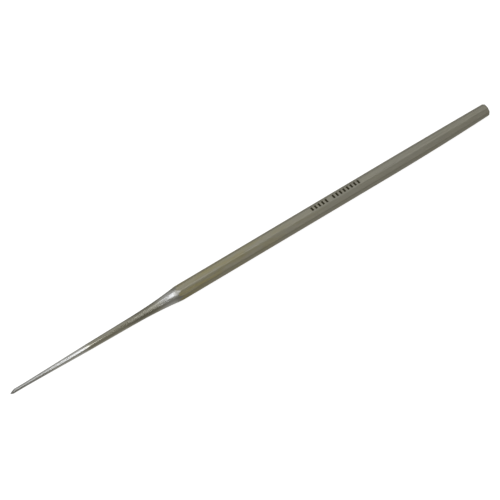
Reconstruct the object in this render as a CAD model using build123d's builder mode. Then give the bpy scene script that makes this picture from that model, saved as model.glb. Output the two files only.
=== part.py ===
from build123d import *
from math import cos, radians, sin, tan
import os

os.makedirs("parts", exist_ok=True)

# Scratch awl: a slender octagonal steel handle with a tapered steel needle pressed into its nose.
# It lies along X with the point towards -X, and rests on one flat of the handle at Z = 0.
# All sizes are in millimetres.

# Whole tool
tool_length = 155.0         # point to butt
across_flats = 4.0          # octagonal bar stock

# Needle
tip_radius = 0.5            # the slim front end, before it is ground to a point
tip_straight = 5.0          # the front end keeps that radius this far back from the point
taper_break = 24.3          # the front taper meets a shallower one here, in a faint line
taper_break_radius = 0.928
taper_break_slope = 0.0245  # of the front taper where it ends
flare_start = 37.5          # the shallow taper turns into the flare here
flare_start_radius = 1.115
cone_angle = 22.0           # the end is turned to a short cone first, half angle
bevel_angle = 22.0          # then one slanted facet is ground on it, from the tool's axis
bevel_roll = 45.0           # the facet looks this far round from the top flat, in line with the next flat
point_drop = 0.2            # the very point is this far off the axis, on the side away from the facet

# Joint between needle and handle
seam = 43.0                 # distance of the seam from the point
neck_radius = 1.275         # both pieces at the seam
neck_slope = 0.043          # both pieces open this fast at the seam
tang_radius = 0.8
tang_length = 16.0
tang_chamfer = 0.2
bore_spare = 1.0            # the bore is this much deeper than the tang
drill_point_angle = 118.0
mouth_chamfer = 0.1         # clears the corner between tang and needle

# Handle
shoulder = 53.5             # the nose has opened to the bar's corners here
edge_round = 0.5            # rounding along the eight long edges
butt_taper_start = 120.0    # from here the flats curve in towards the butt
butt_taper = 0.37           # how far the flats have come in at the butt, on average
butt_lean = 0.25            # the side in line with the facet came in less by this, the other side more
butt_crown = 0.15           # height of the slightly domed butt face
butt_round = 0.4            # rounding of the butt's rim

half_flat = across_flats / 2
corner_radius = half_flat / cos(radians(22.5))
envelope_radius = corner_radius + 0.5
butt_half_flat = half_flat - butt_taper
cone_lead = point_drop / tan(radians(cone_angle))
cone_end = tip_radius / tan(radians(cone_angle)) - cone_lead

# Profiles are drawn on a plane through the tool's axis: x runs back from the point and y out from the axis.
point_end = (-tool_length / 2, 0, half_flat)
profile_plane = Plane(origin=point_end, x_dir=(1, 0, 0), z_dir=(0, -1, 0))
tool_axis = Axis(point_end, (1, 0, 0))


# Needle: turned in two tapers that flare at its seat, with a plain tang behind it. Its front is a short
# cone with one slanted facet across it, which takes the cone's own tip away.
seat_to_tang_end = seam + tang_length
roll_direction = Vector(0, sin(radians(bevel_roll)), cos(radians(bevel_roll)))
facet_normal = roll_direction * cos(radians(bevel_angle)) - Vector(sin(radians(bevel_angle)), 0, 0)
very_point = Vector(point_end) - roll_direction * point_drop
facet_plane = Plane(origin=very_point, z_dir=facet_normal)

with BuildPart() as needle:
    with BuildSketch(profile_plane):
        with BuildLine():
            Polyline((-cone_lead, 0), (cone_end, tip_radius), (tip_straight, tip_radius))
            flare = TangentArc(
                (seam, neck_radius),
                (flare_start, flare_start_radius),
                tangent=(-1, -neck_slope),
            )
            TangentArc(
                (flare_start, flare_start_radius),
                (taper_break, taper_break_radius),
                tangent=flare % 1,
            )
            TangentArc(
                (taper_break, taper_break_radius),
                (tip_straight, tip_radius),
                tangent=(-1, -taper_break_slope),
            )
            Polyline(
                (seam, neck_radius),
                (seam, tang_radius),
                (seat_to_tang_end - tang_chamfer, tang_radius),
                (seat_to_tang_end, tang_radius - tang_chamfer),
                (seat_to_tang_end, 0),
                (-cone_lead, 0),
            )
        make_face()
    revolve(axis=tool_axis)
    split(bisect_by=facet_plane, keep=Keep.BOTTOM)

needle.part.label = "needle"
export_step(needle.part, "parts/needle.step")


# Handle: octagonal bar with a turned, opening nose, flats that curve in at the butt, and a blind bore.
bore_depth = tang_length + bore_spare
bore_end = seam + bore_depth
drill_point = tang_radius / tan(radians(drill_point_angle / 2))

with BuildPart() as handle:
    # Crossed slabs leave the eight flats, each curving in towards the butt. The lean makes the butt's
    # middle rise a little towards the side that the facet looks to.
    for turn in range(0, 180, 45):
        lean = butt_lean * cos(radians(turn + bevel_roll))
        near, far = lean + butt_half_flat, lean - butt_half_flat
        with BuildSketch(profile_plane.rotated((turn, 0, 0))):
            with BuildLine():
                Line((butt_taper_start, half_flat), (seam, half_flat))
                Line((seam, half_flat), (seam, -half_flat))
                Line((seam, -half_flat), (butt_taper_start, -half_flat))
                TangentArc((butt_taper_start, -half_flat), (tool_length, far), tangent=(1, 0))
                Line((tool_length, far), (tool_length, near))
                TangentArc((butt_taper_start, half_flat), (tool_length, near), tangent=(1, 0))
            make_face()
        extrude(
            amount=across_flats,
            both=True,
            mode=Mode.INTERSECT if turn else Mode.ADD,
        )
    long_edges = handle.edges().filter_by(lambda edge: edge.length > across_flats)
    fillet(long_edges, radius=edge_round)

    # Turned outline: the nose opens from the seam until it meets the flats, and the butt is crowned
    with BuildSketch(profile_plane):
        with BuildLine():
            Line((seam, 0), (seam, neck_radius))
            nose = TangentArc(
                (seam, neck_radius),
                (shoulder, corner_radius),
                tangent=(1, neck_slope),
            )
            Polyline(
                nose @ 1,
                (shoulder, envelope_radius),
                (tool_length - butt_crown, envelope_radius),
                (tool_length - butt_crown, corner_radius),
            )
            ThreePointArc(
                (tool_length - butt_crown, corner_radius),
                (tool_length - butt_crown / 4, corner_radius / 2),
                (tool_length, 0),
            )
            Line((tool_length, 0), (seam, 0))
        make_face()
    revolve(axis=tool_axis, mode=Mode.INTERSECT)
    butt_face = handle.faces().sort_by(Axis.X)[-1]
    fillet(butt_face.edges(), radius=butt_round)

    # Blind bore for the tang, with a drill point at its end
    with BuildSketch(profile_plane):
        with BuildLine():
            Polyline(
                (seam, 0),
                (seam, tang_radius + mouth_chamfer),
                (seam + mouth_chamfer, tang_radius),
                (bore_end, tang_radius),
                (bore_end + drill_point, 0),
                close=True,
            )
        make_face()
    revolve(axis=tool_axis, mode=Mode.SUBTRACT)

handle.part.label = "handle"
export_step(handle.part, "parts/handle.step")

for piece in (needle.part, handle.part):
    box = piece.bounding_box()
    print(piece.label, "volume", round(piece.volume, 2), "box", box.min, box.max)
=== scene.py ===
import math

import bmesh
import bpy
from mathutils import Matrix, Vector


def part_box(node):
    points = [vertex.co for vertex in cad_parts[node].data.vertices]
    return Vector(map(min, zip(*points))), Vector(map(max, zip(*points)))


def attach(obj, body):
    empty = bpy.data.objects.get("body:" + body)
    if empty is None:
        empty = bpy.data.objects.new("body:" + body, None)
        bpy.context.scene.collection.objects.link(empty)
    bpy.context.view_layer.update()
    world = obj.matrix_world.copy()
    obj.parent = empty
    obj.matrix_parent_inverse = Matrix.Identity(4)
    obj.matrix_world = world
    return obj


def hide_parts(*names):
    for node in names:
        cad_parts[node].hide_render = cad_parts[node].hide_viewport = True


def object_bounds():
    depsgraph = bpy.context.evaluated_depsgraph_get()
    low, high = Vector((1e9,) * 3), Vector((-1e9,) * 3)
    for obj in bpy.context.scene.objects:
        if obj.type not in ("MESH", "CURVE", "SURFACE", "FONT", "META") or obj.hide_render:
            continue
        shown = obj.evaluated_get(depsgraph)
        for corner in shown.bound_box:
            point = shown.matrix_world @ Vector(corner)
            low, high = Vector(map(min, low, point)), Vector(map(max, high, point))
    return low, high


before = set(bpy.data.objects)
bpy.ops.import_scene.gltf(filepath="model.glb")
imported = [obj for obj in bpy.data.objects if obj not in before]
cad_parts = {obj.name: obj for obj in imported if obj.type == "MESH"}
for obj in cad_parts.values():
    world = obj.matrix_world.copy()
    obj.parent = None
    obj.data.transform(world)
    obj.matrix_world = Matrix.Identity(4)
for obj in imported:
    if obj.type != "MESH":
        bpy.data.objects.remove(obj)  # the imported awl: point towards -X, lying on one flat of its handle
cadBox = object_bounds()
bpy.ops.object.select_all(action="DESELECT")

# Pieces are modelled in millimetres and brought to metres when they are finished.
metre = 1000.0
handleLow, handleHigh = [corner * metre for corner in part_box("handle")]
needleLow, needleHigh = [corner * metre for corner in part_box("needle")]

pointX = needleLow.x
seamX = handleLow.x
buttX = handleHigh.x
tangEndX = needleHigh.x
axisZ = (handleLow.z + handleHigh.z) / 2
halfFlat = (handleHigh.z - handleLow.z) / 2
halfTurn = math.radians(22.5)  # from the middle of a flat to a corner of the octagon
cornerRadius = halfFlat / math.cos(halfTurn)
neckRadius = (needleHigh.y - needleLow.y) / 2
facetRoll = math.radians(45)   # the point's facet looks this far round from the top, to the back
facetSide = Vector((0, math.sin(facetRoll), math.cos(facetRoll)))

jointFit = {
    "tangRadius": 0.8,
    "mouthChamfer": 0.1,  # at the bore's mouth
    "boreSpare": 1.0,     # the bore is this much deeper than the tang
    "drillPoint": 0.48,
    "seamBreak": 0.03,    # tiny bevel on both pieces, so the seam shows as a hairline
    "neckSlope": 0.043,   # both pieces open this fast at the seam
}

# how near counts as the same place, in millimetres
nearness = {
    "cut": 0.0001,        # a cut runs through a point this near, and makes no new one
    "ring": 0.01,         # points of one ring of the bar
    "rim": 0.001,         # points of the butt's rim
    "spinWeld": 0.0005,   # points that meet after a spin
    "barWeld": 0.00005,   # points that meet where the lathe cut the bar
}


def makeActive(piece):
    bpy.ops.object.select_all(action="DESELECT")
    piece.select_set(True)
    bpy.context.view_layer.objects.active = piece


def editAll(piece):
    makeActive(piece)
    bpy.ops.object.mode_set(mode="EDIT")
    bpy.ops.mesh.select_mode(type="VERT")
    bpy.ops.mesh.select_all(action="SELECT")


def pick(piece, kind, test):
    # selects the vertices, edges or faces of the piece being edited that pass the test
    bpy.ops.mesh.select_mode(type={"verts": "VERT", "edges": "EDGE", "faces": "FACE"}[kind])
    bpy.ops.mesh.select_all(action="DESELECT")
    shape = bmesh.from_edit_mesh(piece.data)
    shape.normal_update()
    for part in getattr(shape, kind):
        if test(part):
            part.select = True
    shape.select_flush_mode()
    bmesh.update_edit_mesh(piece.data)


def applyModifier(piece, kind, **settings):
    makeActive(piece)
    modifier = piece.modifiers.new(kind.title(), kind)
    for setting, value in settings.items():
        setattr(modifier, setting, value)
    bpy.ops.object.modifier_apply(modifier=modifier.name)


def spinOutline(name, outline, steps):
    # a small plane merged to one point starts the outline, which is drawn point by point above the
    # axis and then spun round it
    startX, startRadius = outline[0]
    bpy.ops.object.select_all(action="DESELECT")
    bpy.ops.mesh.primitive_plane_add(size=0.1, location=(startX, 0, axisZ + startRadius))
    piece = bpy.context.object
    piece.name = piece.data.name = name
    editAll(piece)
    bpy.ops.mesh.merge(type="CENTER")
    for before, after in zip(outline, outline[1:]):
        step = (after[0] - before[0], 0, after[1] - before[1])
        bpy.ops.mesh.extrude_vertices_move(TRANSFORM_OT_translate={"value": step})
    bpy.ops.mesh.select_all(action="SELECT")
    bpy.ops.mesh.spin(steps=steps, angle=math.tau, center=(0, 0, axisZ), axis=(1, 0, 0))
    bpy.ops.mesh.select_all(action="SELECT")
    bpy.ops.mesh.remove_doubles(threshold=nearness["spinWeld"])
    bpy.ops.mesh.normals_make_consistent(inside=False)
    bpy.ops.object.mode_set(mode="OBJECT")
    bpy.ops.object.transform_apply(location=True, rotation=True, scale=True)
    return piece


def finishPiece(piece):
    makeActive(piece)
    piece.scale = (1 / metre, 1 / metre, 1 / metre)
    bpy.ops.object.transform_apply(location=True, rotation=True, scale=True)


handleShape = {
    "edgeRound": 0.5,       # rounding along the eight long edges
    "edgeSegments": 16,
    "noseLength": 10.5,     # from the seam to where it meets the corners
    "noseRings": 28,
    "taperLength": 35.0,    # the flats curve in over this length at the butt
    "taperDepth": 0.37,
    "lean": 0.25,           # the butt's middle rises this much towards the side of the point's facet
    "taperRings": 24,
    "buttRound": 0.4,
    "buttSegments": 10,
    "buttCrown": 0.15,
    "crownRings": 6,
    "turningSteps": 192,
    "frontSpare": 2.0,      # the bar starts this far in front of the seam, for the lathe to take off
    "latheSpare": 1.0,      # the turned body stands this clear of the bar behind the nose
    "creaseAngle": 30.0,    # degrees; sharper edges stay crisp
}


def makeBar():
    # an eight-sided cylinder gets its ground taper, then its rounded edges and its domed butt
    shape = handleShape
    flatEndX = buttX - shape["buttCrown"]
    length = flatEndX - seamX + shape["frontSpare"]
    bpy.ops.object.select_all(action="DESELECT")
    bpy.ops.mesh.primitive_cylinder_add(
        vertices=8, radius=cornerRadius, depth=length,
        location=(flatEndX - length / 2, 0, axisZ), rotation=(0, math.pi / 2, 0))
    bar = bpy.context.object
    bar.name = bar.data.name = "octagonHandle"
    bpy.ops.object.transform_apply(location=True, rotation=True, scale=True)

    editAll(bar)
    bpy.ops.transform.rotate(value=halfTurn, orient_axis="X", center_override=(0, 0, axisZ))
    taperStart = buttX - shape["taperLength"]
    rings = shape["taperRings"]
    ringPlaces = [taperStart + (flatEndX - taperStart) * ring / rings for ring in range(rings + 1)]
    for x in ringPlaces[:-1]:
        bpy.ops.mesh.select_all(action="SELECT")
        bpy.ops.mesh.bisect(
            plane_co=(x, 0, axisZ), plane_no=(1, 0, 0), threshold=nearness["cut"])
    for x in ringPlaces[1:]:
        pick(bar, "verts", lambda vert: abs(vert.co.x - x) < nearness["ring"])
        share = ((x - taperStart) / shape["taperLength"]) ** 2
        shrink = 1 - shape["taperDepth"] / halfFlat * share
        bpy.ops.transform.resize(value=(1, shrink, shrink), center_override=(x, 0, axisZ))
        bpy.ops.transform.translate(value=facetSide * shape["lean"] * share)

    # long edges, which are all longer than a tenth of a millimetre, then the butt's rim
    pick(bar, "edges", lambda edge: abs(edge.verts[0].co.x - edge.verts[1].co.x) > 0.1)
    bpy.ops.mesh.bevel(
        offset=shape["edgeRound"] * math.tan(halfTurn), offset_type="OFFSET",
        segments=shape["edgeSegments"], affect="EDGES", clamp_overlap=False)
    pick(bar, "edges", lambda edge: all(
        abs(vert.co.x - flatEndX) < nearness["rim"] for vert in edge.verts))
    bpy.ops.mesh.bevel(
        offset=shape["buttRound"], offset_type="OFFSET", segments=shape["buttSegments"],
        affect="EDGES", clamp_overlap=False)

    # the crown: the flat end, the one large face that looks straight back, is drawn out ring by
    # ring, each smaller and a little further out
    crownMiddle = Vector((buttX, 0, axisZ)) + facetSide * shape["lean"]
    pick(bar, "faces", lambda face: face.normal.x > 0.999 and face.calc_area() > 1)
    rings = shape["crownRings"]
    shares = [1 - ring / rings for ring in range(rings)]
    for before, after in zip(shares, shares[1:]):
        rise = shape["buttCrown"] * (before ** 2 - after ** 2)
        bpy.ops.mesh.extrude_region_move(TRANSFORM_OT_translate={"value": (rise, 0, 0)})
        shrink = after / before
        bpy.ops.transform.resize(value=(1, shrink, shrink), center_override=crownMiddle)
    bpy.ops.mesh.extrude_region_move(
        TRANSFORM_OT_translate={"value": (shape["buttCrown"] * shares[-1] ** 2, 0, 0)})
    bpy.ops.mesh.merge(type="CENTER")
    bpy.ops.object.mode_set(mode="OBJECT")
    return bar


def makeTurnedBody():
    # what the lathe leaves: the opening nose in front, room to spare behind, and the bore inside
    shape, fit = handleShape, jointFit
    opening = cornerRadius - neckRadius - fit["neckSlope"] * shape["noseLength"]
    nose = []
    for ring in range(1, shape["noseRings"] + 1):
        along = shape["noseLength"] * ring / shape["noseRings"]
        widening = opening * (along / shape["noseLength"]) ** 2
        nose.append((seamX + along, neckRadius + fit["neckSlope"] * along + widening))
    spareRadius = cornerRadius + shape["latheSpare"]
    spareEndX = buttX + shape["latheSpare"]
    boreEnd = tangEndX + fit["boreSpare"]
    outline = [
        (boreEnd + fit["drillPoint"], 0),
        (boreEnd, fit["tangRadius"]),
        (seamX + fit["mouthChamfer"], fit["tangRadius"]),
        (seamX, fit["tangRadius"] + fit["mouthChamfer"]),
        (seamX, neckRadius - fit["seamBreak"]),
        (seamX + fit["seamBreak"], neckRadius),
        *nose,
        (seamX + shape["noseLength"], spareRadius),
        (spareEndX, spareRadius),
        (spareEndX, 0),
    ]
    return spinOutline("turnedBody", outline, shape["turningSteps"])


def makeHandle():
    bar = makeBar()
    turned = makeTurnedBody()
    applyModifier(bar, "BOOLEAN", operation="INTERSECT", solver="EXACT", object=turned)
    bpy.data.objects.remove(turned)
    editAll(bar)
    bpy.ops.mesh.remove_doubles(threshold=nearness["barWeld"])
    bpy.ops.object.mode_set(mode="OBJECT")
    return bar


handle = makeHandle()
print("handle:", len(handle.data.polygons), "faces")

needleShape = {
    "tipRadius": 0.5,
    "tipStraight": 5.0,         # the slim front end keeps its radius this far back
    "taperBreak": 24.3,         # the front taper meets a shallower one here, in a faint line
    "taperBreakRadius": 0.928,
    "taperBreakSlope": 0.0245,  # of the front taper where it ends
    "flareStart": 37.5,         # the long taper turns into the flare here
    "flareStartRadius": 1.115,
    "taperRings": 24,
    "flareRings": 12,
    "coneAngle": 22.0,          # the end is turned to a short cone, half angle
    "facetAngle": 22.0,         # and one slanted facet is ground across it, from the axis
    "pointDrop": 0.2,           # the very point is this far off the axis, away from the facet
    "tangChamfer": 0.2,
    "turningSteps": 128,
    "creaseAngle": 20.0,        # degrees; sharper edges stay crisp
    "facetReach": 3.0,          # the facet ends within this distance of the point
}
slant = math.radians(needleShape["facetAngle"])
facetNormal = facetSide * math.cos(slant) - Vector((math.sin(slant), 0, 0))


def shallowArc(startX, startRadius, startSlope, endX, endRadius, rings):
    # outline points after the start, along a shallow curve that leaves it at the given slope, and
    # the slope at its end
    length = endX - startX
    bend = (endRadius - startRadius - startSlope * length) / length ** 2
    points = []
    for ring in range(1, rings + 1):
        along = length * ring / rings
        points.append((startX + along, startRadius + startSlope * along + bend * along ** 2))
    return points, startSlope + 2 * bend * length


def makeNeedle():
    # the outline is worked out from the seam forwards, because both pieces share one slope there
    shape, fit = needleShape, jointFit
    flareX, breakX, tipX = [pointX + shape[place] for place in (
        "flareStart", "taperBreak", "tipStraight")]
    flareRadius, breakRadius = shape["flareStartRadius"], shape["taperBreakRadius"]
    flare, slope = shallowArc(
        seamX, neckRadius, fit["neckSlope"], flareX, flareRadius, shape["flareRings"])
    rear = shallowArc(flareX, flareRadius, slope, breakX, breakRadius, shape["taperRings"])[0]
    front = shallowArc(
        breakX, breakRadius, shape["taperBreakSlope"], tipX, shape["tipRadius"],
        shape["taperRings"])[0]
    coneSlope = math.tan(math.radians(shape["coneAngle"]))
    coneStartX = pointX - shape["pointDrop"] / coneSlope
    outline = [
        (coneStartX, 0),
        (coneStartX + shape["tipRadius"] / coneSlope, shape["tipRadius"]),
        *reversed(flare + rear + front),
        (seamX - fit["seamBreak"], neckRadius),
        (seamX, neckRadius - fit["seamBreak"]),
        (seamX, fit["tangRadius"]),
        (tangEndX - shape["tangChamfer"], fit["tangRadius"]),
        (tangEndX, fit["tangRadius"] - shape["tangChamfer"]),
        (tangEndX, 0),
    ]
    needle = spinOutline("taperedNeedle", outline, shape["turningSteps"])

    # the point: one slanted cut across the cone, closed with a flat facet
    veryPoint = Vector((pointX, 0, axisZ)) - facetSide * shape["pointDrop"]
    editAll(needle)
    bpy.ops.mesh.bisect(
        plane_co=veryPoint, plane_no=facetNormal, use_fill=True, clear_outer=True,
        threshold=nearness["cut"])
    bpy.ops.object.mode_set(mode="OBJECT")
    return needle


needle = makeNeedle()
print("needle:", len(needle.data.polygons), "faces")


def fromHex(code):
    # sRGB hex to linear colour
    channels = [int(code[i:i + 2], 16) / 255 for i in (1, 3, 5)]
    return [c / 12.92 if c <= 0.04045 else ((c + 0.055) / 1.055) ** 2.4 for c in channels] + [1.0]


def addNode(tree, kind, sockets=(), give=0, **settings):
    # sockets: values or other nodes' outputs, in order from the first socket or by name or number;
    # what comes back is the output called or numbered give
    node = tree.nodes.new("ShaderNode" + kind)
    for setting, value in settings.items():
        setattr(node, setting, value)
    for socket, value in sockets.items() if isinstance(sockets, dict) else enumerate(sockets):
        if isinstance(value, bpy.types.NodeSocket):
            tree.links.new(value, node.inputs[socket])
        else:
            node.inputs[socket].default_value = value
    return node.outputs[give]


def startSteel(name):
    # a metal surface, and its object coordinates in millimetres from the tool's axis
    material = bpy.data.materials.new(name)
    material.use_nodes = True
    tree = material.node_tree
    shader = tree.nodes["Principled BSDF"]
    shader.inputs["Metallic"].default_value = 1.0
    place = addNode(tree, "Mapping", {
        "Vector": addNode(tree, "TexCoord", give="Object"),
        "Location": (0, 0, -axisZ), "Scale": (metre, metre, metre)})
    return material, tree, shader, place


def stretchedNoise(tree, place, size, detail=2.0, seed=0.0):
    # noise whose grains are as large as size, in millimetres along X, Y and Z
    scaled = addNode(tree, "Mapping", {
        "Vector": place, "Location": (seed, seed, seed), "Scale": [1 / length for length in size]})
    return addNode(tree, "TexNoise", {
        "Vector": scaled, "Scale": 1.0, "Detail": detail, "Roughness": 0.55})


def finishSteel(tree, shader, look, layers, roughParts, height, depth):
    # each colour covers what is below it by its share, the parts are added to the steel's own
    # roughness, and the bump's depth is in millimetres
    colour = fromHex(look["steel"])
    for share, code in layers:
        colour = addNode(
            tree, "Mix", {0: share, 6: colour, 7: fromHex(code)}, give=2, data_type="RGBA")
    rough = look["roughness"]
    for part in roughParts:
        rough = addNode(tree, "Math", [rough, part], operation="ADD")
    bump = addNode(tree, "Bump", {"Height": height, "Distance": depth / metre, "Strength": 1.0})
    for socket, output in (("Base Color", colour), ("Roughness", rough), ("Normal", bump)):
        tree.links.new(output, shader.inputs[socket])


def makeSatinSteel():
    # Stainless bar, belt-ground along its length: a soft olive-grey sheen that stretches across the
    # grinding lines, faint mottling, and edges rubbed smoother and greyer by the hand.
    look = {
        "steel": "#bcb9ac", "olive": "#bab081", "worn": "#aba89b",
        "filmLength": 70.0,    # the olive film thins out over this length, back from the nose
        "filmFront": 0.85, "filmBack": 0.1,
        "filmMottle": (0.45, 1.2),  # the mottling thins and thickens the film between these
        "roughness": 0.52, "anisotropy": 0.3,
        "lineWidth": 0.12,     # mm; real grit lines are near 0.03 mm, drawn coarser so that they show
        "lineLength": 7.0,
        "lineDepth": 0.0025,
        "lineSteps": (0.3, 0.7),    # of the noise, from a line's bottom to its top
        "lineShade": "#98958a", "lineShading": 0.22, "lineRoughness": (-0.05, 0.07),
        "mottle": (7.0, 1.3, 1.3),
        "mottleSteps": (0.35, 0.68), "mottleRoughness": (-0.02, 0.04),
        "strayWidth": 0.3,     # a few deeper lines
        "strayLength": 16.0,
        "straySteps": (0.66, 0.76),
        "strayShade": "#84817a", "strayShading": 0.35, "strayDepth": 0.8,
        "wearStart": 0.30, "wearEnd": 0.37,   # radians from the middle of a flat; corners are at 0.39
        "wearPatches": (9.0, 1.5, 1.5), "patchSteps": (0.3, 0.6), "leastWear": 0.35,
        "wearing": 0.6, "wearRoughness": -0.03,
    }
    etch = {
        "colour": "#4d4939", "roughness": 0.6,
        "firstX": 18.9, "pitch": 1.17, "width": 0.58, "halfHeight": 0.6,
        "places": 14, "gap": 5,  # the place left empty between the two groups of ticks
        "slack": 0.1,            # of a place, when places are compared
        "topFlat": 0.9,          # only what is higher than this share of the top flat's height
        "depth": 2.0,            # in grinding lines
    }
    material, tree, shader, place = startSteel("beltGroundSatinSteel")
    x, y, z = addNode(tree, "SeparateXYZ", [place]).node.outputs

    width, length = look["lineWidth"], look["lineLength"]
    lines = stretchedNoise(tree, place, (length, width, width), detail=3.0)
    width, length = look["strayWidth"], look["strayLength"]
    strays = addNode(tree, "MapRange", [
        stretchedNoise(tree, place, (length, width, width), detail=1.0, seed=7.0),
        *look["straySteps"], 0, 1], interpolation_type="SMOOTHSTEP")
    mottle = addNode(tree, "MapRange", [
        stretchedNoise(tree, place, look["mottle"], seed=3.0),
        *look["mottleSteps"], 0, 1], interpolation_type="SMOOTHSTEP")

    # wear: along the eight corners, broken up so that it comes and goes
    roundAxis = addNode(tree, "Math", [y, z], operation="ARCTAN2")
    offMiddle = addNode(tree, "Math", [roundAxis, halfTurn], operation="PINGPONG")
    corners = addNode(
        tree, "MapRange", [offMiddle, look["wearStart"], look["wearEnd"], 0, 1],
        interpolation_type="SMOOTHSTEP")
    patches = addNode(tree, "MapRange", [
        stretchedNoise(tree, place, look["wearPatches"], seed=11.0),
        *look["patchSteps"], look["leastWear"], 1], interpolation_type="SMOOTHSTEP")
    wear = addNode(tree, "Math", [corners, patches], operation="MULTIPLY")

    # etched ticks: plain bars on the top flat, in two groups
    fromFirst = addNode(tree, "Math", [x, etch["firstX"]], operation="SUBTRACT")
    step = addNode(tree, "Math", [fromFirst, etch["pitch"]], operation="DIVIDE")
    nearest = addNode(tree, "Math", [step], operation="ROUND")
    middle = (etch["places"] - 1) / 2
    inGap = addNode(tree, "Math", [nearest, float(etch["gap"]), etch["slack"]], operation="COMPARE")
    ticks = addNode(
        tree, "Math", [step, nearest, etch["width"] / 2 / etch["pitch"]], operation="COMPARE")
    for limit in (
            addNode(tree, "Math", [nearest, middle, middle + etch["slack"]], operation="COMPARE"),
            addNode(tree, "Math", [1.0, inGap], operation="SUBTRACT"),
            addNode(tree, "Math", [y, 0.0, etch["halfHeight"]], operation="COMPARE"),
            addNode(tree, "Math", [z, halfFlat * etch["topFlat"]], operation="GREATER_THAN")):
        ticks = addNode(tree, "Math", [ticks, limit], operation="MULTIPLY")

    alongFilm = addNode(
        tree, "MapRange",
        [x, seamX, seamX + look["filmLength"], look["filmFront"], look["filmBack"]],
        interpolation_type="SMOOTHSTEP")
    filmMottle = addNode(tree, "MapRange", [mottle, 0, 1, *look["filmMottle"]])
    film = addNode(tree, "Math", [alongFilm, filmMottle], operation="MULTIPLY")
    lineShare = addNode(tree, "MapRange", [lines, *look["lineSteps"], 0.0, look["lineShading"]])
    strayShare = addNode(tree, "Math", [strays, look["strayShading"]], operation="MULTIPLY")
    wornShare = addNode(tree, "Math", [wear, look["wearing"]], operation="MULTIPLY")
    layers = [
        (film, look["olive"]), (lineShare, look["lineShade"]), (strayShare, look["strayShade"]),
        (wornShare, look["worn"]), (ticks, etch["colour"])]

    etchRoughness = etch["roughness"] - look["roughness"]
    roughParts = [
        addNode(tree, "MapRange", [lines, *look["lineSteps"], *look["lineRoughness"]]),
        addNode(tree, "MapRange", [mottle, 0, 1, *look["mottleRoughness"]]),
        addNode(tree, "Math", [wear, look["wearRoughness"]], operation="MULTIPLY"),
        addNode(tree, "Math", [ticks, etchRoughness], operation="MULTIPLY")]

    height = lines
    for mark, depth in ((strays, look["strayDepth"]), (ticks, etch["depth"])):
        cut = addNode(tree, "Math", [mark, depth], operation="MULTIPLY")
        height = addNode(tree, "Math", [height, cut], operation="SUBTRACT")
    finishSteel(tree, shader, look, layers, roughParts, height, look["lineDepth"])
    shader.inputs["Anisotropic"].default_value = look["anisotropy"]
    around = addNode(tree, "Tangent", direction_type="RADIAL", axis="X")
    tree.links.new(around, shader.inputs["Tangent"])
    return material


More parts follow.
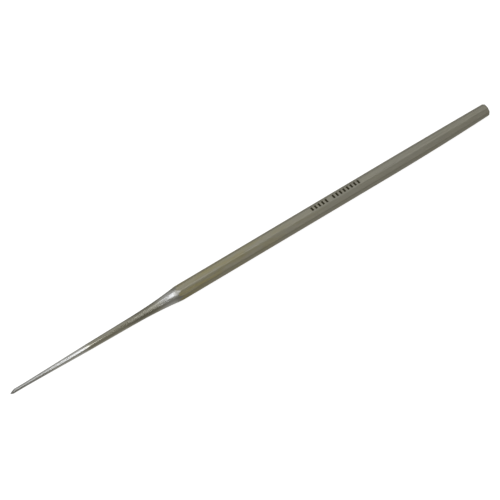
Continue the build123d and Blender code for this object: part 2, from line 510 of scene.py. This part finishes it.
def makePolishedSteel():
    # Hardened steel, turned and then polished while it spins: clear, slim reflections with traces of
    # fine rings, softer round the seam, painted shade round the seam and where the nose's polish runs
    # out before the flats, and a duller last stretch where the point is used and stoned.
    look = {
        "lighterFront": "#e6e5e1",   # the front taper is coloured lighter
        "lighterFrontEnd": (-3.0, 1.0),    # it fades out from here to here, seen from the taper's break
        "used": "#bebdb8",    # the very front is stained by use
        "nose": "#d0cfcb",
        "noseStart": (1.5, 6.0),    # it fades in from here to here, behind the seam
        "noseRoughness": 0.05,
        "steel": "#c4c0b0", "shade": "#bab6a4",
        "roughness": 0.055,
        "ringWidth": 0.15,    # mm; real rings are under 0.01 mm, drawn coarser so that they show
        "ringLength": 5.0,
        "ringDepth": 0.0001,
        "ringShade": "#a5a297", "ringShadeSteps": (0.35, 0.7), "ringShading": 0.12,
        "ringSteps": (0.3, 0.7), "ringRoughness": (-0.004, 0.006),
        "haze": (4.0, 0.9, 0.9),
        "hazeSteps": (0.35, 0.65), "hazeRoughness": (-0.003, 0.01),
        "drag": (6.0, 0.1, 0.1),    # a few fine scratches along the tool
        "dragSteps": (0.62, 0.75), "dragDepth": 0.3,
        "dullLength": 16.0,   # back from the point
        "dullFront": 0.4,     # this share of it is fully dull
        "dullness": 0.26,
        "seamSoftness": 0.18,  # the polish is softer round the seam
        "seamSoftMiddle": -1.0,     # seen from the seam
        "seamSoftLength": 7.0,      # over this length each way
        "seamSoftFull": 0.2,        # and fully so over this share of it
        # painted shade: a darker colour round the seam and where the polish runs out, dimming the lamps'
        # reflections there
        "seamPaintedShade": "#959181", "seamPaintedShading": 0.65,
        "flatsStart": 0.87,   # of the nose's length, where the flats start to show on it
        "runOut": 1.8,        # the nose's polish fades into satin over this length before the flats
        "runOutPaintedShading": 0.6, "runOutRoughness": 0.3,
    }
    material, tree, shader, place = startSteel("polishedNeedleSteel")
    x = addNode(tree, "SeparateXYZ", [place])
    width, length = look["ringWidth"], look["ringLength"]
    rings = stretchedNoise(tree, place, (width, length, length), detail=3.0)
    haze = stretchedNoise(tree, place, look["haze"], seed=5.0)
    drag = addNode(tree, "MapRange", [
        stretchedNoise(tree, place, look["drag"], detail=1.0, seed=9.0),
        *look["dragSteps"], 0, 1], interpolation_type="SMOOTHSTEP")

    # stretches along the tool
    dullEnd = pointX + look["dullLength"]
    fullyDull = pointX + look["dullFront"] * look["dullLength"]
    breakX = pointX + needleShape["taperBreak"]
    fadeOut, goneX = [breakX + offset for offset in look["lighterFrontEnd"]]
    fadeIn, noseX = [seamX + offset for offset in look["noseStart"]]
    flatsX = seamX + look["flatsStart"] * handleShape["noseLength"]
    fromSeam = addNode(tree, "Math", [x, seamX + look["seamSoftMiddle"]], operation="SUBTRACT")
    fromSeam = addNode(tree, "Math", [fromSeam], operation="ABSOLUTE")
    softLength = look["seamSoftLength"]
    dull, lighterFront, nose, soft, runOut = [
        addNode(tree, "MapRange", stretch, interpolation_type="SMOOTHSTEP") for stretch in (
            [x, fullyDull, dullEnd, 1, 0],
            [x, fadeOut, goneX, 1, 0],
            [x, fadeIn, noseX, 0, 1],
            [fromSeam, look["seamSoftFull"] * softLength, softLength, 1, 0],
            [x, flatsX - look["runOut"], flatsX, 0, 1])]

    hazeShare, ringShare, hazeRough = [
        addNode(tree, "MapRange", steps, interpolation_type="SMOOTHSTEP") for steps in (
            [haze, *look["hazeSteps"], 0, 1],
            [rings, *look["ringShadeSteps"], 0, look["ringShading"]],
            [haze, *look["hazeSteps"], *look["hazeRoughness"]])]
    # painted shade round the seam and before the flats, dimming the lamps' reflections
    seamShadeShare = addNode(tree, "Math", [soft, look["seamPaintedShading"]], operation="MULTIPLY")
    runOutShadeShare = addNode(tree, "Math", [runOut, look["runOutPaintedShading"]], operation="MULTIPLY")
    layers = [
        (hazeShare, look["shade"]), (lighterFront, look["lighterFront"]), (dull, look["used"]),
        (nose, look["nose"]), (seamShadeShare, look["seamPaintedShade"]), (runOutShadeShare, look["seamPaintedShade"]),
        (ringShare, look["ringShade"])]

    roughParts = [
        addNode(tree, "MapRange", [rings, *look["ringSteps"], *look["ringRoughness"]]), hazeRough]
    for stretch, amount in (
            (dull, look["dullness"]), (soft, look["seamSoftness"]),
            (nose, look["noseRoughness"]), (runOut, look["runOutRoughness"])):
        roughParts.append(addNode(tree, "Math", [stretch, amount], operation="MULTIPLY"))

    scratch = addNode(tree, "Math", [drag, look["dragDepth"]], operation="MULTIPLY")
    height = addNode(tree, "Math", [rings, scratch], operation="SUBTRACT")
    finishSteel(tree, shader, look, layers, roughParts, height, look["ringDepth"])
    return material


def makeFacedSteel():
    # The butt is faced on the lathe and left satin: fine rings round the axis catch the light.
    look = {
        "steel": "#b7b3a4", "groove": "#8f8b78", "roughness": 0.36,
        "ringSpacing": 0.14,  # mm; the real feed is near 0.05 mm, drawn coarser so that it shows
        "ringDepth": 0.003,
        "ringShare": 0.4,     # how deep the rings are beside the grain
        "wobble": 0.08,       # mm, how far the rings wander
        "wobbleSize": (1.0, 0.6, 0.6),
        "grain": (0.2, 0.2, 0.2),
        "grooveSteps": (0.2, 1.6), "grooveShading": 0.7, "grooveRoughness": 0.08,
    }
    material, tree, shader, place = startSteel("facedButtSteel")
    flattened = addNode(tree, "Mapping", {"Vector": place, "Scale": (0, 1, 1)})
    radius = addNode(tree, "VectorMath", [flattened], give="Value", operation="LENGTH")
    wander = stretchedNoise(tree, place, look["wobbleSize"])
    wobble = addNode(tree, "Math", [wander, look["wobble"]], operation="MULTIPLY")
    wobbled = addNode(tree, "Math", [radius, wobble], operation="ADD")
    turns = addNode(tree, "Math", [wobbled, look["ringSpacing"] / math.tau], operation="DIVIDE")
    rings = addNode(tree, "Math", [turns], operation="SINE")
    grain = stretchedNoise(tree, place, look["grain"], detail=3.0, seed=2.0)
    together = addNode(tree, "Math", [rings, grain], operation="ADD")
    groove = addNode(
        tree, "MapRange", [together, *look["grooveSteps"], 0, look["grooveShading"]],
        interpolation_type="SMOOTHSTEP")
    grooveRough = addNode(tree, "Math", [groove, look["grooveRoughness"]], operation="MULTIPLY")
    ringHeight = addNode(tree, "Math", [rings, look["ringShare"]], operation="MULTIPLY")
    height = addNode(tree, "Math", [ringHeight, grain], operation="ADD")
    finishSteel(
        tree, shader, look, [(groove, look["groove"])], [grooveRough], height, look["ringDepth"])
    return material


def makeStonedSteel():
    # The point's facet is drawn over a stone: straight fine scratches down its slope, a dull grey.
    look = {
        "steel": "#b4b4b0", "scratch": "#868684", "roughness": 0.3,
        "scratchWidth": 0.03,  # mm, across the facet
        "scratchLength": 1.5,
        "scratchDepth": 0.0008,
        "scratchSteps": (0.35, 0.65), "scratchShading": 0.8,
        "roughSteps": (0.3, 0.7), "scratchRoughness": (-0.05, 0.08),
    }
    material, tree, shader, place = startSteel("stonedPointSteel")
    turned = addNode(tree, "Mapping", {"Vector": place, "Rotation": (facetRoll, 0, 0)})
    width, length = look["scratchWidth"], look["scratchLength"]
    scratches = stretchedNoise(tree, turned, (length, width, length))
    share = addNode(
        tree, "MapRange", [scratches, *look["scratchSteps"], 0, look["scratchShading"]],
        interpolation_type="SMOOTHSTEP")
    scratchRough = addNode(
        tree, "MapRange", [scratches, *look["roughSteps"], *look["scratchRoughness"]])
    finishSteel(
        tree, shader, look, [(share, look["scratch"])], [scratchRough], scratches,
        look["scratchDepth"])
    return material


satinSteel = makeSatinSteel()
polishedSteel = makePolishedSteel()
facedSteel = makeFacedSteel()
stonedSteel = makeStonedSteel()
print("materials are made")


def givePart(piece, material, test):
    # the faces that pass the test get the material, and a crisp line parts them from the rest
    piece.data.materials.append(material)
    piece.active_material_index = len(piece.data.materials) - 1
    pick(piece, "faces", test)
    bpy.ops.object.material_slot_assign()
    bpy.ops.mesh.region_to_loop()
    bpy.ops.mesh.mark_sharp()


def shadeHandle():
    # the nose looks a little forwards all round, and the faced butt almost straight back
    crease = math.radians(handleShape["creaseAngle"])
    noseEndX = seamX + handleShape["noseLength"] + nearness["ring"]
    rimX = buttX - handleShape["buttCrown"] - handleShape["buttRound"]
    handle.data.materials.append(satinSteel)
    makeActive(handle)
    bpy.ops.object.shade_smooth()
    bpy.ops.object.mode_set(mode="EDIT")
    pick(handle, "edges", lambda edge: edge.calc_face_angle(0) > crease)
    bpy.ops.mesh.mark_sharp()
    givePart(handle, polishedSteel, lambda face: (
        face.calc_center_median().x < noseEndX and face.normal.x < -0.02))
    givePart(handle, facedSteel, lambda face: (
        face.calc_center_median().x > rimX and face.normal.x > 0.9))
    bpy.ops.object.mode_set(mode="OBJECT")
    applyModifier(handle, "WEIGHTED_NORMAL", keep_sharp=True, weight=100)


def shadeNeedle():
    facetEndX = pointX + needleShape["facetReach"]
    needle.data.materials.append(polishedSteel)
    makeActive(needle)
    bpy.ops.object.shade_smooth_by_angle(angle=math.radians(needleShape["creaseAngle"]))
    bpy.ops.object.mode_set(mode="EDIT")
    givePart(needle, stonedSteel, lambda face: (
        face.normal.dot(facetNormal) > 0.9999 and face.calc_center_median().x < facetEndX))
    bpy.ops.object.mode_set(mode="OBJECT")


shadeHandle()
shadeNeedle()
for piece in (handle, needle):
    finishPiece(piece)
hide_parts("handle")
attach(handle, "root")
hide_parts("needle")
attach(needle, "root")
print("pieces are finished")

studio = {
    "floorColour": "#8c8c8c",   # of the table itself; most of its white comes from below
    "floorRoughness": 0.9,
    "floorShine": 0.95,
    "floorSize": 8.0,
    "backdrop": "#ffffff",
    "worldTop": "#989790",      # what the steel sees overhead
    "worldSide": "#83827c",
    "worldBottom": "#acaba7",
    "panelColour": "#f0f4ff",
    # soft boxes, all parallel to the tool: how far along it, how far away, how far they stand to the
    # front of straight overhead in degrees, size along and across the tool, and how bright they look
    "panels": {
        "rearBox": (-0.85, 1.6, -42.0, 3.0, 2.6, 0.19),
        "stripBox": (0.230, 0.9, 18.0, 0.022, 1.8, 2.1),
        "neckBox": (-0.068, 0.9, 6.0, 0.40, 1.2, 1.9),
    },
}


def makeFloor():
    # a light table: a plain sheet that shines white, so what lies on it casts hardly any shadow
    bpy.ops.object.select_all(action="DESELECT")
    bpy.ops.mesh.primitive_plane_add(size=studio["floorSize"], location=(0, 0, 0))
    floor = bpy.context.object
    floor.name = "floor"
    material = bpy.data.materials.new("lightTable")
    material.use_nodes = True
    shader = material.node_tree.nodes["Principled BSDF"]
    shader.inputs["Base Color"].default_value = fromHex(studio["floorColour"])
    shader.inputs["Roughness"].default_value = studio["floorRoughness"]
    shader.inputs["Specular IOR Level"].default_value = 0.0
    shader.inputs["Emission Color"].default_value = (1, 1, 1, 1)
    shader.inputs["Emission Strength"].default_value = studio["floorShine"]
    floor.data.materials.append(material)
    floor.visible_glossy = False  # the steel mirrors the room's lower half in its place


def makeWorld():
    # a warm grey room, darkest at the height of the horizon; seen directly, it is pure white
    world = bpy.data.worlds.new("studioRoom")
    bpy.context.scene.world = world
    world.use_nodes = True
    tree = world.node_tree
    direction = addNode(tree, "TexCoord", give="Generated")
    height = addNode(tree, "SeparateXYZ", [direction], give="Z")
    ramp = addNode(tree, "ValToRGB", [addNode(tree, "MapRange", [height, -1.0, 1.0, 0, 1])])
    stops = ramp.node.color_ramp.elements
    stops[0].position, stops[0].color = 0.0, fromHex(studio["worldBottom"])
    stops[1].position, stops[1].color = 1.0, fromHex(studio["worldTop"])
    stops.new(0.5).color = fromHex(studio["worldSide"])
    seen = addNode(tree, "LightPath", give="Is Camera Ray")
    colour = addNode(
        tree, "Mix", {0: seen, 6: ramp, 7: fromHex(studio["backdrop"])}, give=2, data_type="RGBA")
    tree.links.new(colour, tree.nodes["Background"].inputs["Color"])


def addPanel(name, along, distance, turn, length, width, glow):
    angle = math.radians(turn)
    place = (along, -distance * math.sin(angle), distance * math.cos(angle))
    bpy.ops.object.light_add(type="AREA", location=place, rotation=(angle, 0, 0))
    panel = bpy.context.object
    panel.name = name
    panel.data.shape = "RECTANGLE"
    panel.data.size, panel.data.size_y = length, width
    panel.data.energy = glow * math.pi * length * width
    panel.data.color = fromHex(studio["panelColour"])[:3]


def makeCamera():
    view = {
        "azimuth": -37.103, "elevation": 51.8, "distance": 1.2, "lens": 333.3,
        "aimRight": -0.00113, "aimUp": -0.00045,  # metres from the tool's middle
        "nearest": 0.01, "furthest": 20,
    }
    turn, tilt = math.radians(view["azimuth"]), math.radians(view["elevation"])
    back = Vector((
        math.sin(turn) * math.cos(tilt), -math.cos(turn) * math.cos(tilt), math.sin(tilt)))
    right = Vector((math.cos(turn), math.sin(turn), 0))
    up = back.cross(right)
    middle = (cadBox[0] + cadBox[1]) / 2
    aim = middle + right * view["aimRight"] + up * view["aimUp"]
    bpy.ops.object.camera_add(location=aim + back * view["distance"])
    camera = bpy.context.object
    camera.rotation_euler = back.to_track_quat("Z", "Y").to_euler()
    camera.data.lens = view["lens"]
    camera.data.clip_start, camera.data.clip_end = view["nearest"], view["furthest"]
    bpy.context.scene.camera = camera


makeFloor()
makeWorld()
for name, values in studio["panels"].items():
    addPanel(name, *values)
makeCamera()
bpy.context.scene.view_settings.view_transform = "Standard"
print("studio is set")
